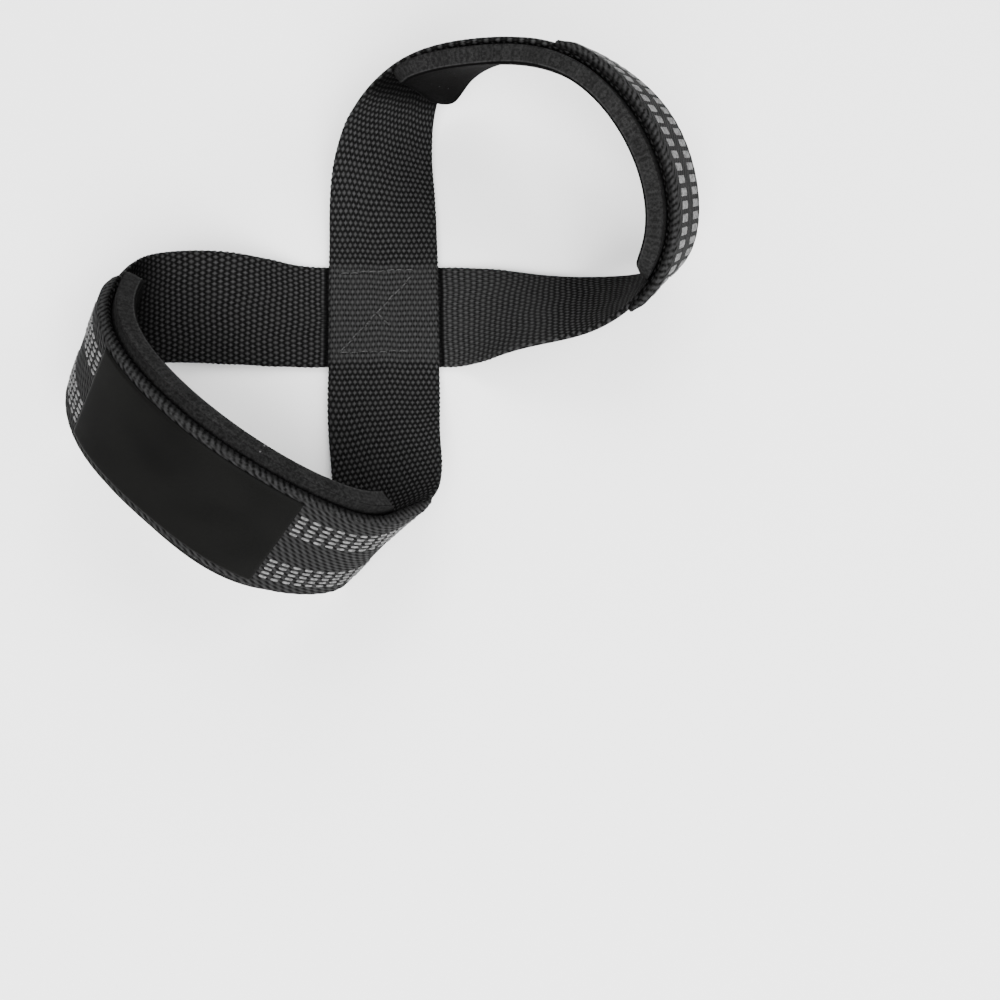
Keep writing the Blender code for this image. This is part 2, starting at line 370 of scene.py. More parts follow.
def by_float(tree, across, along, across_pitch, along_pitch):
    """A number from 0 to 1 that is the same over each float, at a random for each: white noise of the place
    rounded to whole pitches."""
    place = tree.nodes.new("ShaderNodeCombineXYZ")
    node_input(tree, place.inputs[0], calc(tree, "ROUND", calc(tree, "DIVIDE", across, across_pitch)))
    node_input(tree, place.inputs[1], calc(tree, "ROUND", calc(tree, "DIVIDE", along, along_pitch)))
    noise = tree.nodes.new("ShaderNodeTexWhiteNoise")
    tree.links.new(place.outputs[0], noise.inputs["Vector"])
    return noise.outputs["Value"]


def new_look(name, roughness):
    look = bpy.data.materials.new(name)
    look.use_nodes = True
    shader = look.node_tree.nodes["Principled BSDF"]
    shader.inputs["Roughness"].default_value = roughness
    return look, look.node_tree, shader


def finish_look(tree, shader, colour, gloss, height, depth):
    """Colour, gloss and relief into the shader; depth is the relief's height in metres."""
    bump = tree.nodes.new("ShaderNodeBump")
    bump.inputs["Distance"].default_value = depth
    node_input(tree, bump.inputs["Height"], height)
    tree.links.new(bump.outputs[0], shader.inputs["Normal"])
    tree.links.new(colour, shader.inputs["Base Color"])
    node_input(tree, shader.inputs["Specular IOR Level"], gloss)


# The webbing's greys, with a painted highlight for the crowns, its roughness, the sizes of its blots and
# fibres across and along, and its relief. The marks tell the material what the cloth does and where shade is
# painted: 0 where it is loose and its pits are deep, FLAT_MARK where it is drawn flat, 1 for painted shadow
# beside the edges of the band above, and down to -1 for painted shade beside the pads, where hardly any light
# comes in.
WEBBING_CROWN_HIGHLIGHT = (0.031, 0.031, 0.032, 1.0)
WEBBING_SIDE = (0.019, 0.019, 0.019, 1.0)
WEBBING_GAP = (0.0015, 0.0015, 0.0015, 1.0)
WEBBING_PAINTED_SHADE = (0.001, 0.001, 0.001, 1.0)
YARN_ROUGHNESS = 0.75
FIBRE = (0.00012, 0.0010)
WEBBING_BLOT = (0.012, 0.018)
WEBBING_RELIEF = 0.00016
FLAT_MARK = 0.4
# Painted shadow beside the edges of the band above: the mark where it begins, and how dark it is.
CROSSING_SHADOW_MARK = 0.5
CROSSING_SHADOW_DARK = 0.85
PAD_SHADE_DARK = 0.8
LOOSE_PIT = 0.15
FLAT_PIT = 0.32
LOOSE_GAP_SHARE = 0.12
FLAT_GAP_SHARE = 0.55


def webbing_look():
    """Dull black yarn: a painted highlight on the crowns of the floats, and nearly black in the pits where
    four of them meet, with fibres that run along each float, a tone of its own for each float, and a slow
    change over the cloth. Painted shade darkens it beside the edges of the band above and beside the pads'
    ends."""
    look, tree, shader = new_look("webbing_black", YARN_ROUGHNESS)
    across, along = cloth_place(tree)
    weft = wave(tree, along, 2 * WEFT_PITCH)
    side_by_side = wave(tree, across, WARP_PITCH)
    warp = calc(tree, "MULTIPLY", side_by_side, calc(tree, "SIGN", weft))
    crown = calc(tree, "MULTIPLY", calc(tree, "MULTIPLY_ADD", warp, 0.5, 0.5), calc(tree, "ABSOLUTE", weft))
    own = by_float(tree, across, along, WARP_PITCH / 2, WEFT_PITCH)
    fibres = grain(tree, across, along, *FIBRE)
    shade = grain(tree, across, along, *WEBBING_BLOT, detail=2.0)
    between_rows = calc(tree, "SUBTRACT", 1.0, calc(tree, "ABSOLUTE", weft))
    between_floats = calc(tree, "SUBTRACT", 1.0, calc(tree, "ABSOLUTE", side_by_side))
    flat = fade(tree, marked(tree), 0.0, FLAT_MARK)
    # Where painted shadow lies beside the edges of the band above.
    crossing_shadow = fade(tree, marked(tree), CROSSING_SHADOW_MARK, 1.0)
    pit_size = fade(tree, flat, 0.0, 1.0, LOOSE_PIT, FLAT_PIT)
    pit = fade(tree, calc(tree, "MULTIPLY", between_rows, between_floats), 0.0, pit_size)
    pit = calc(tree, "MULTIPLY", pit, fade(tree, own, 0.0, 1.0, 0.5, 1.0))
    gap_share = fade(tree, flat, 0.0, 1.0, LOOSE_GAP_SHARE, FLAT_GAP_SHARE)
    ground = blend(tree, fade(tree, crown, 0.0, 0.4, gap_share, 1.0), WEBBING_GAP, WEBBING_SIDE)
    body = blend(tree, pit, ground, WEBBING_GAP)
    # Painted highlight on the crowns of the floats, stronger on some floats than on others.
    lit = calc(tree, "MULTIPLY", calc(tree, "POWER", crown, 2.0), fade(tree, own, 0.0, 1.0, 0.25, 1.0))
    lit = calc(tree, "MULTIPLY", lit, fade(tree, shade, 0.3, 0.7, 0.55, 1.0))
    lit = calc(tree, "MULTIPLY", lit, fade(tree, fibres, 0.3, 0.7, 0.35, 1.0))
    colour = blend(tree, lit, body, WEBBING_CROWN_HIGHLIGHT)
    # Painted shade: near black, with less gloss, beside the edges of the band above and beside the pads'
    # ends.
    beside_pads = fade(tree, marked(tree), -1.0, 0.0, PAD_SHADE_DARK, 0.0)
    painted_shade = calc(tree, "MAXIMUM", calc(tree, "MULTIPLY", crossing_shadow, CROSSING_SHADOW_DARK), beside_pads)
    colour = blend(tree, painted_shade, colour, WEBBING_PAINTED_SHADE)
    gloss = fade(tree, crown, 0.4, 0.95, 0.02, 0.10)
    gloss = calc(tree, "MULTIPLY", gloss, calc(tree, "SUBTRACT", 1.0, painted_shade))
    height = calc(tree, "MULTIPLY_ADD", fibres, 0.35, crown)
    finish_look(tree, shader, colour, gloss, height, WEBBING_RELIEF)
    return look


WEBBING_LOOK = webbing_look()

# Distances from the middle of the crossing between which each state of the cloth fades in or out. The band
# below has painted shadow along both edges of the one above, and is taut before it. The one above is sewn
# flat.
CROSSING_SHADOW_BEGINS = (0.0180, 0.0192)
CROSSING_SHADOW_ENDS = (0.0200, 0.0220)
SEWN_ENDS = (0.0160, 0.0200)
TAUT_BEGINS = (0.0450, 0.0750)
FAINT_MARK = 0.01

# Where the pads lie along the band. The table has a row for each of their ends, with its place along the
# band, the way out from the pad, and how far the painted shade beside it reaches over the band.
UPPER_PAD_LENGTH = 0.154
LOWER_PAD_LENGTH = 0.149
UPPER_PAD_MIDDLE = 0.482 * UPPER_LENGTH
LOWER_PAD_MIDDLE = BAND_LENGTH - 0.4955 * LOWER_LENGTH
SHADE_UNDER_PAD = 0.010
PAD_SHADE_ENDS = (
    ("upper start", UPPER_PAD_MIDDLE - UPPER_PAD_LENGTH / 2, -1, 0.012),
    ("upper end", UPPER_PAD_MIDDLE + UPPER_PAD_LENGTH / 2, 1, 0.010),
    ("lower start", LOWER_PAD_MIDDLE - LOWER_PAD_LENGTH / 2, -1, 0.030),
    ("lower end", LOWER_PAD_MIDDLE + LOWER_PAD_LENGTH / 2, 1, 0.026),
)


def woven_length(name, start, end):
    """One length of the band between two places along it: rows at a third of the weft pitch, columns at
    about a quarter of the warp pitch. Each face rises by the weave's height times (2 weave - 1), and drops
    at the edges by a share of a quarter circle."""
    half = WEB_WIDTH / 2 - SELVEDGE_LOOP
    warps = 4 * round(half / WARP_PITCH)
    rows = np.linspace(start, end, int(round((end - start) / (WEFT_PITCH / 3))) + 1)
    columns = np.linspace(-half, half, 2 * warps + 1)
    along, across = np.meshgrid(rows, columns, indexing="ij")
    from_edge = half - np.abs(across)
    lift = WEAVE_HEIGHT * (2 * plain_weave(*drift(across, along)) - 1) * smooth_step(0, WARP_PITCH, from_edge)
    drop = edge_round(from_edge, SELVEDGE_ROUND) * SELVEDGE_DROP
    before_crossing = UPPER_LENGTH - along
    from_crossing = np.abs(before_crossing)
    # Painted shadow on the band below, along both edges of the band above it.
    crossing_shadow = smooth_step(*CROSSING_SHADOW_BEGINS, from_crossing) * (1 - smooth_step(*CROSSING_SHADOW_ENDS, from_crossing))
    sewn = 1 - smooth_step(*SEWN_ENDS, np.abs(along))
    taut = (1 - smooth_step(*TAUT_BEGINS, before_crossing)) * (before_crossing > 0)
    mark = np.maximum(crossing_shadow, FLAT_MARK * np.maximum(sewn, taut))
    # Painted shade on the inner face beside each end of a pad.
    shade = np.zeros_like(along)
    for _, place, way, reach in PAD_SHADE_ENDS:
        beyond = ((along - place) * way + BAND_LENGTH / 2) % BAND_LENGTH - BAND_LENGTH / 2
        beside = smooth_step(-SHADE_UNDER_PAD, 0, beyond) * (1 - smooth_step(0, reach, beyond))
        shade = np.maximum(shade, beside)
    inner_mark = np.where(mark > FAINT_MARK, mark, -shade)
    high, low = WEB_THICK / 2 + lift - drop, -WEB_THICK / 2 - lift + drop
    wall = selvedge_wall(0)
    piece = slab(name, along, across, high, low, wall, WEBBING_LOOK, mark=inner_mark, low_mark=mark)
    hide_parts("webbing")
    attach(piece, "root")


UPPER_JOIN = 0.57 * UPPER_LENGTH
LOWER_JOIN = 0.49 * LOWER_LENGTH
woven_length("webbing_upper_layer", -LOWER_JOIN, UPPER_JOIN)
woven_length("webbing_lower_layer", UPPER_JOIN, BAND_LENGTH - LOWER_JOIN)

# The pads: die-cut foam rubber, 6 mm thick, with a cloth lining towards the wrist and square-cut walls. Each
# is sewn flat on the inner face of its loop and stands out a little past the webbing. Its ends are round.
PAD_OVERHANG = 0.0035
PAD_HALF = WEB_WIDTH / 2 + PAD_OVERHANG
PAD_THICK = 0.006
PAD_CORNER = 0.011
PAD_RIM = 0.0006
UPPER_PAD_TIP = 0.0045
LOWER_PAD_TIP = 0.0015
TIP_THINNING = 0.88
UPPER_PAD_ASKEW = 0.003
ASKEW_REACH = 0.035
PAD_SWELL = 0.0003
PAD_SWELL_REACH = 0.008
PAD_STEP = 0.0012
PAD_CORNER_ROWS = 14
PAD_MIDDLE_COLUMNS = 37
PAD_MIDDLE_SHARE = 0.95
PAD_EDGE_SHARES = (0.975, 0.99, 1.0)
PAD_PORE = (0.0014, 0.0014, 0.0014, 1.0)
PAD_FOAM = (0.0175, 0.0175, 0.0175, 1.0)
PAD_LINT = (0.060, 0.060, 0.060, 1.0)
PAD_RIM_GREY = (0.018, 0.018, 0.018, 1.0)
PAD_ROUGHNESS = 0.85
PAD_GLOSS = 0.015
PAD_RELIEF = 0.00012
PAD_BLOT = (0.007, 0.009)
PAD_MOTTLE = (0.0011, 0.0011)
PAD_PORE_SIZE = (0.0004, 0.0004)
LINT_SIZE = (0.0014, 0.0014)
LINING_MARK = 0.0
# Painted shade: the pads' back faces, under their overhang, are coloured a little darker than the foam.
UNDERSIDE_SHADE_MARK = 0.3
FOAM_MARK = 0.5
RIM_MARK = 1.0
# How dark the lining face is: the lining's own colour and painted shade.
LINING_TONE_AND_SHADE = 0.05

# The pad's wall, from the lining down: share of the thickness, how far it stands out, and its mark.
PAD_WALL = (
    (0.03, 0.0002, RIM_MARK),
    (0.09, 0.0002, RIM_MARK),
    (0.12, 0, FOAM_MARK),
    (0.5, 0.0002, FOAM_MARK),
    (0.9, 0, FOAM_MARK),
    (0.98, -0.0005, FOAM_MARK),
)


def pad_look():
    """Matt foam rubber, a mottled near-black with fine pores, darker where the cloth lining covers it, for
    the lining's own colour and as painted shade, a little darker with painted shade on the back face, with a
    lighter line where the lining is cut, and a few specks of lint. The marks tell these places apart."""
    look, tree, shader = new_look("pad_rubber", PAD_ROUGHNESS)
    across, along = cloth_place(tree)
    slow = grain(tree, across, along, *PAD_BLOT)
    mottle = grain(tree, across, along, *PAD_MOTTLE, detail=2.0)
    pores = grain(tree, across, along, *PAD_PORE_SIZE, detail=4.0)
    lint = fade(tree, grain(tree, across, along, *LINT_SIZE, detail=0.0), 0.85, 0.87)
    mottled = fade(tree, mottle, 0.3, 0.7, 0.35, 1.0)
    tone = calc(tree, "MULTIPLY", mottled, fade(tree, slow, 0.3, 0.7, 0.75, 1.0))
    tone = calc(tree, "MULTIPLY", tone, fade(tree, pores, 0.35, 0.6, 0.6, 1.0))
    mark = marked(tree)
    # Darker on the lining face, for the lining's colour and as painted shade, and on the back face as painted
    # shade.
    tone = calc(tree, "MULTIPLY", tone, fade(tree, mark, LINING_MARK, FOAM_MARK, LINING_TONE_AND_SHADE, 1.0))
    body = blend(tree, tone, PAD_PORE, PAD_FOAM)
    rim = calc(tree, "MULTIPLY", fade(tree, mark, 0.6, RIM_MARK), fade(tree, mottle, 0.35, 0.6, 0.3, 1.0))
    colour = blend(tree, lint, blend(tree, rim, body, PAD_RIM_GREY), PAD_LINT)
    finish_look(tree, shader, colour, PAD_GLOSS, calc(tree, "ADD", pores, mottle), PAD_RELIEF)
    return look


PAD_LOOK = pad_look()


def pad(name, node, middle, length, tip_length, askew):
    """A rounded rectangle in plan, whose half width near an end follows a quarter circle. Its start is cut
    askew, by a shift along the band that grows with the share across. Its face swells a little and drops off
    within a rim's width of the outline. Its thickness follows sqrt(1 - thinning x tip^2) at each end."""
    inside = np.linspace(0, np.pi / 2, PAD_CORNER_ROWS + 1)[:-1]
    into_end = PAD_CORNER * (1 - np.cos(inside))
    straight = length - 2 * PAD_CORNER
    body = np.linspace(0, straight, int(round(straight / PAD_STEP)) + 1) + PAD_CORNER
    rows = np.concatenate([into_end, body, length - into_end[::-1]])
    to_end = np.minimum(rows, length - rows)
    short = np.clip(PAD_CORNER - to_end, 0, PAD_CORNER)
    half = PAD_HALF - PAD_CORNER + np.sqrt(PAD_CORNER**2 - short**2)
    near_edge = np.array(PAD_EDGE_SHARES)
    inner = np.linspace(-PAD_MIDDLE_SHARE, PAD_MIDDLE_SHARE, PAD_MIDDLE_COLUMNS)
    share = np.concatenate([-near_edge[::-1], inner, near_edge])
    skew = askew * share * (1 - smooth_step(0, ASKEW_REACH, rows))[:, None]
    along = middle - length / 2 + rows[:, None] - skew
    across = half[:, None] * share
    from_side = half[:, None] * (1 - np.abs(share))
    from_edge = np.minimum(from_side, to_end[:, None] + 0 * from_side)
    drop = edge_round(from_edge, PAD_RIM)
    low = WEB_THICK / 2 + LAYER_GAP
    swell = PAD_SWELL * smooth_step(0, PAD_SWELL_REACH, from_edge)
    tip = np.clip(1 - to_end[:, None] / tip_length, 0, 1)
    high = low + PAD_THICK * np.sqrt(1 - TIP_THINNING * tip**2) - drop + swell
    low_face = np.full_like(high, low)
    piece = slab(name, along, across, high, low_face, PAD_WALL, PAD_LOOK, LINING_MARK, UNDERSIDE_SHADE_MARK)
    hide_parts(node)
    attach(piece, "root")


pad("pad_upper_foam", "pad_upper", UPPER_PAD_MIDDLE, UPPER_PAD_LENGTH, UPPER_PAD_TIP, UPPER_PAD_ASKEW)
pad("pad_lower_foam", "pad_lower", LOWER_PAD_MIDDLE, LOWER_PAD_LENGTH, LOWER_PAD_TIP, 0.0)

# The grip overlays: a second, charcoal webbing, twill woven and sewn on the outer face of each loop. Its
# soft edges roll over those of the band under it, and its ends are pressed thin.
OVERLAY_INSET = 0.0004
OVERLAY_HALF = WEB_WIDTH / 2 - OVERLAY_INSET
OVERLAY_THICK = 0.0018
OVERLAY_HIGH = -WEB_THICK / 2 - LAYER_GAP
OVERLAY_LOW = OVERLAY_HIGH - OVERLAY_THICK
ROLL_START = 0.0175
ROLL_OVERHANG = 0.0004
ROLL_HALF = WEB_WIDTH / 2 + ROLL_OVERHANG
ROLL_RISE = 0.0023
ROLL_THICK = 0.0009
ROLL_STRETCH = 0.43
PRESSED_END = 0.0050
PRESSED_THICK = 0.0009
UPPER_OVERLAY_LENGTH = 0.099
LOWER_OVERLAY_LENGTH = 0.154
UPPER_OVERLAY_MIDDLE = 0.589 * UPPER_LENGTH
LOWER_OVERLAY_MIDDLE = BAND_LENGTH - 0.464 * LOWER_LENGTH
RIB_PITCH = 0.00128
RIB_SLANT = 0.30
RIB_HEIGHT = 0.00010
FLOAT_PITCH = 0.0032
FLOAT_STEP = 0.4
KNOT_SLANT = 0.7
OVERLAY_CROWN = (0.020, 0.020, 0.0205, 1.0)
OVERLAY_SIDE = (0.0095, 0.0095, 0.0095, 1.0)
OVERLAY_GAP = (0.0025, 0.0025, 0.0025, 1.0)
OVERLAY_GROOVE_SHADE = (0.0008, 0.0008, 0.0008, 1.0)
OVERLAY_FUZZ = (0.0007, 0.0010)
OVERLAY_BLOT = (0.010, 0.015)
OVERLAY_RELIEF = 0.00014


def overlay_look():
    """Charcoal yarn in slanting ribs, broken into floats of a few millimetres, each rib's floats a step
    further on than those of the rib beside it. Where the mark grows, over the rolled edge, the ribs turn
    into the fuzzy, slanting knots of the selvedge, and painted shade darkens them towards the groove beside
    the pad."""
    look, tree, shader = new_look("overlay_charcoal", YARN_ROUGHNESS)
    across, along = cloth_place(tree)
    slanted = calc(tree, "MULTIPLY_ADD", along, RIB_SLANT, across)
    ribs = wave(tree, slanted, RIB_PITCH)
    stepped = calc(tree, "MULTIPLY_ADD", slanted, FLOAT_STEP * FLOAT_PITCH / RIB_PITCH, along)
    floats = wave(tree, stepped, FLOAT_PITCH)
    twill = calc(tree, "MULTIPLY_ADD", ribs, 0.5, calc(tree, "MULTIPLY", floats, 0.5))
    knots = wave(tree, calc(tree, "MULTIPLY_ADD", across, KNOT_SLANT, along), WEFT_PITCH)
    fuzz = grain(tree, across, along, *OVERLAY_FUZZ)
    knots = calc(tree, "MULTIPLY_ADD", knots, 0.6, fade(tree, fuzz, 0.3, 0.7, -0.4, 0.6))
    roll = marked(tree)
    edge = fade(tree, roll, 0.02, 0.3)
    weave = calc(tree, "MULTIPLY_ADD", calc(tree, "SUBTRACT", knots, twill), edge, twill)
    own = by_float(tree, slanted, stepped, RIB_PITCH, FLOAT_PITCH)
    fibres = grain(tree, across, along, *FIBRE)
    shade = grain(tree, across, along, *OVERLAY_BLOT, detail=2.0)
    body = blend(tree, fade(tree, weave, -0.9, 0.0), OVERLAY_GAP, OVERLAY_SIDE)
    lit = calc(tree, "MULTIPLY", fade(tree, weave, -0.1, 0.9), fade(tree, own, 0.0, 1.0, 0.5, 1.0))
    lit = calc(tree, "MULTIPLY", lit, fade(tree, fibres, 0.25, 0.75, 0.6, 1.0))
    lit = calc(tree, "MULTIPLY", lit, fade(tree, shade, 0.3, 0.7, 0.8, 1.0))
    colour = blend(tree, lit, body, OVERLAY_CROWN)
    # Painted shade in the groove between the rolled edge and the pad.
    colour = blend(tree, fade(tree, roll, 0.55, 1.0, 0.0, 0.9), colour, OVERLAY_GROOVE_SHADE)
    gloss = fade(tree, weave, -0.6, 0.6, 0.01, 0.08)
    height = calc(tree, "MULTIPLY_ADD", fibres, 0.3, fade(tree, weave, -0.8, 0.8))
    finish_look(tree, shader, colour, gloss, height, OVERLAY_RELIEF)
    return look


OVERLAY_LOOK = overlay_look()


def overlay(name, node, middle, length):
    """A strip with slanting ribs on its outer face, rib height x cos(2 pi (across + slant along) / rib),
    with rows at half the weft pitch and columns at a quarter of the rib pitch. From the roll's start to its
    edge it rises by the square of the share of the way. Its cloth is longer there than its plan, by a share
    of that rise."""
    rows = middle + np.linspace(-length / 2, length / 2, int(round(length / (WEFT_PITCH / 2))) + 1)
    columns = np.linspace(-ROLL_HALF, ROLL_HALF, 8 * round(ROLL_HALF / RIB_PITCH) + 1)
    along, across = np.meshgrid(rows, columns, indexing="ij")
    from_edge = ROLL_HALF - np.abs(across)
    roll = np.clip((np.abs(across) - ROLL_START) / (ROLL_HALF - ROLL_START), 0, 1) ** 2
    to_end = length / 2 - np.abs(along - middle)
    thick = OVERLAY_THICK + (ROLL_THICK - OVERLAY_THICK) * roll
    pressed = 1 - smooth_step(0, PRESSED_END, to_end)
    thick = thick + (PRESSED_THICK - OVERLAY_THICK) * pressed * (1 - roll)
    cloth = across + ROLL_STRETCH * ROLL_RISE * roll * np.sign(across)
    cloth_across, cloth_along = drift(cloth, along)
    ribs = np.cos(2 * np.pi * (cloth_across + RIB_SLANT * cloth_along) / RIB_PITCH)
    lift = RIB_HEIGHT * ribs * smooth_step(0, RIB_PITCH / 2, from_edge)
    high = OVERLAY_HIGH + (ROLL_RISE - OVERLAY_THICK + ROLL_THICK) * roll
    low = high - thick - lift
    wall = selvedge_wall(1)
    piece = slab(name, along, across, high, low, wall, OVERLAY_LOOK, mark=roll, cloth_across=cloth)
    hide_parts(node)
    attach(piece, "root")


overlay("overlay_upper_webbing", "grip_overlay_upper", UPPER_OVERLAY_MIDDLE, UPPER_OVERLAY_LENGTH)
overlay("overlay_lower_webbing", "grip_overlay_lower", LOWER_OVERLAY_MIDDLE, LOWER_OVERLAY_LENGTH)

# The dashes: raised light grey silicone rubber, printed on both overlays in two bands of five rows, so that
# the bar doesn't slip. They are half sunk into the cloth, and follow it down over its pressed ends.
DASH_LENGTH = 0.0024
DASH_WIDTH = 0.0009
DASH_HEIGHT = 0.00035
DASH_PITCH = 0.0038
DASH_ROW_PITCH = 0.00175
DASH_ROWS = 5
DASH_BAND_MIDDLE = 0.0095
DASH_GREY = (0.135, 0.135, 0.135, 1.0)
DASH_WORN = (0.060, 0.060, 0.060, 1.0)
DASH_ROUGHNESS = 0.6
DASH_GLOSS = 0.15
DASH_RELIEF = 0.00004
DASH_NOISE_SCALE = 900.0
BAR_SIDES = 8
PROBE = 0.001

# The rings of a dash: share of its half length, and share of its full thickness there.
DASH_RINGS = ((-1, 0.35), (-0.82, 0.85), (0, 1), (0.82, 0.85), (1, 0.35))


def bars(name, middle, side, up, half_width, half_height, look):
    """Closed bars, all in one mesh. Round each bar's middle line go rings of eight points, middle + side x
    half width x cos + up x half height x sin, and three faces close each end. The first axis counts the
    bars."""
    count, rings = middle.shape[:2]
    angle = np.arange(BAR_SIDES) * 2 * np.pi / BAR_SIDES
    across = (half_width[..., None] * np.cos(angle))[..., None] * side[:, :, None]
    above = (half_height[..., None] * np.sin(angle))[..., None] * up[:, :, None]
    points = middle[:, :, None] + across + above
    ring, step = np.meshgrid(np.arange(rings - 1) * BAR_SIDES, np.arange(BAR_SIDES), indexing="ij")
    beside = (step + 1) % BAR_SIDES
    one = np.stack([ring + step, ring + BAR_SIDES + step, ring + BAR_SIDES + beside, ring + beside], axis=-1)
    cap = np.array([(0, 1, 2, 3), (0, 3, 4, 7), (4, 5, 6, 7)])
    one = np.vstack([one.reshape(-1, 4), cap, cap[:, ::-1] + BAR_SIDES * (rings - 1)])
    quads = (np.arange(count)[:, None, None] * rings * BAR_SIDES + one).reshape(-1, 4)
    return quad_object(name, points.reshape(-1, 3), quads, look)


def object_noise(tree, scale, detail=2.0):
    """Noise from 0 to 1 in the piece's own space, with this many blots to a metre."""
    noise = tree.nodes.new("ShaderNodeTexNoise")
    noise.inputs["Scale"].default_value = scale
    noise.inputs["Detail"].default_value = detail
    tree.links.new(tree.nodes.new("ShaderNodeTexCoord").outputs["Object"], noise.inputs["Vector"])
    return noise.outputs[0]


def dash_look():
    """Light grey silicone rubber, a little worn and uneven from dash to dash."""
    look, tree, shader = new_look("dash_rubber", DASH_ROUGHNESS)
    wear = object_noise(tree, DASH_NOISE_SCALE, detail=3.0)
    colour = blend(tree, fade(tree, wear, 0.35, 0.65), DASH_WORN, DASH_GREY)
    finish_look(tree, shader, colour, DASH_GLOSS, wear, DASH_RELIEF)
    return look


DASH_LOOK = dash_look()


def dashes(name, middle, length):
    """Rows of dashes on the overlay's outer face, a whole number of them to its length. The rings at the
    ends of each are small, so that its ends are round. Its side and up directions are found by a short step
    on the band."""
    per_row = int((length - DASH_PITCH) / DASH_PITCH)
    places = middle + (np.arange(per_row) - (per_row - 1) / 2) * DASH_PITCH
    row = (np.arange(DASH_ROWS) - (DASH_ROWS - 1) / 2) * DASH_ROW_PITCH
    offsets = np.concatenate([row - DASH_BAND_MIDDLE, row + DASH_BAND_MIDDLE])
    place, offset = [grid.reshape(-1, 1) for grid in np.meshgrid(places, offsets, indexing="ij")]
    share, thickness = np.array(DASH_RINGS).T
    along = place + share * DASH_LENGTH / 2
    across = offset + 0 * along
    to_end = length / 2 - np.abs(along - middle)
    pressed = (OVERLAY_THICK - PRESSED_THICK) * (1 - smooth_step(0, PRESSED_END, to_end))
    centre = on_band(along, across, OVERLAY_LOW - RIB_HEIGHT / 2 + pressed)
    on_line = on_band(along, across, 0 * along)
    side = unit(on_band(along, across + PROBE, 0 * along) - on_line)
    up = unit(on_band(along, across, 0 * along + PROBE) - on_line)
    size = thickness + 0 * along
    piece = bars(name, centre, side, up, size * DASH_WIDTH / 2, size * DASH_HEIGHT, DASH_LOOK)
    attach(piece, "root")


dashes("overlay_upper_dashes", UPPER_OVERLAY_MIDDLE, UPPER_OVERLAY_LENGTH)
dashes("overlay_lower_dashes", LOWER_OVERLAY_MIDDLE, LOWER_OVERLAY_LENGTH)

# The label patch: smooth black satin, glued and heat-cut at its edges, on the outer face of the lower
# overlay. It is left bare.
LABEL_INSET = 0.0019
LABEL_HALF = OVERLAY_HALF - LABEL_INSET
LABEL_SHIFT = 0.0010
LABEL_THICK = 0.0006
LABEL_LENGTH = 0.071
LABEL_MIDDLE = BAND_LENGTH - 0.487 * LOWER_LENGTH
LABEL_HIGH = OVERLAY_LOW - LAYER_GAP
LABEL_ROWS = 91
LABEL_COLUMNS = 49
LABEL_EDGE_OUT = 0.00005
LABEL_BLACK = (0.0022, 0.0022, 0.0021, 1.0)
LABEL_PAINTED_SHEEN = (0.0034, 0.0034, 0.0032, 1.0)
LABEL_ROUGHNESS = 0.6
LABEL_GLOSS = 0.02
LABEL_RELIEF = 0.00002
LABEL_THREAD = (0.00015, 0.0025)
LABEL_BLOT = (0.020, 0.024)


def label_look():
    """Close satin: a fine thread along the patch, and a slow painted sheen, lighter from place to place."""
    look, tree, shader = new_look("label_satin", LABEL_ROUGHNESS)
    across, along = cloth_place(tree)
    thread = grain(tree, across, along, *LABEL_THREAD)
    slow = grain(tree, across, along, *LABEL_BLOT, detail=1.0)
    # Painted sheen: lighter blots at random over the patch.
    colour = blend(tree, fade(tree, slow, 0.3, 0.7), LABEL_BLACK, LABEL_PAINTED_SHEEN)
    finish_look(tree, shader, colour, LABEL_GLOSS, thread, LABEL_RELIEF)
    return look


def label_patch():
    """A flat rectangle on the band, whose outer face drops off at its edges in a quarter circle."""
    rows = LABEL_MIDDLE + np.linspace(-LABEL_LENGTH / 2, LABEL_LENGTH / 2, LABEL_ROWS)
    columns = LABEL_SHIFT + LABEL_HALF * np.linspace(-1, 1, LABEL_COLUMNS)
    along, across = np.meshgrid(rows, columns, indexing="ij")
    to_end = LABEL_LENGTH / 2 - np.abs(along - LABEL_MIDDLE)
    from_edge = np.minimum(LABEL_HALF - np.abs(across - LABEL_SHIFT), to_end)
    low = LABEL_HIGH - LABEL_THICK + edge_round(from_edge, LABEL_THICK / 2)
    high = np.full_like(low, LABEL_HIGH)
    wall = ((0.5, LABEL_EDGE_OUT, 0),)
    piece = slab("label_satin_patch", along, across, high, low, wall, label_look())
    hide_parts("label_patch")
    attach(piece, "root")


label_patch()

# The stitching of the crossing: thread lines sewn through both layers, a row near each end of the square,
# and a diagonal between them with part of a second one. The thread is a little lighter than the webbing and
# sinks into it.
STITCH_PITCH = 0.0030
STITCH_LENGTH = 0.0027
STITCH_RINGS = 7
STITCH_DIP = 2.4
STITCH_STRAY = 0.0002
STRAY_TURN = 2.1
THREAD_RADIUS = 0.00026
THREAD_GREY = (0.048, 0.048, 0.048, 1.0)
THREAD_ROUGHNESS = 0.7
THREAD_GLOSS = 0.1
THREAD_RELIEF = 0.00005
THREAD_NOISE_SCALE = 2500.0

# The start and the end of each line of stitches, from the middle of the crossing.
STITCH_LINES = (
    ("far row", (-0.0148, 0.0148), (0.0103, 0.0165)),
    ("near row", (-0.0150, -0.0148), (0.0080, -0.0142)),
    ("diagonal", (-0.0148, -0.0146), (0.0098, 0.0140)),
    ("second diagonal", (-0.0032, 0.0008), (0.0026, -0.0052)),
)


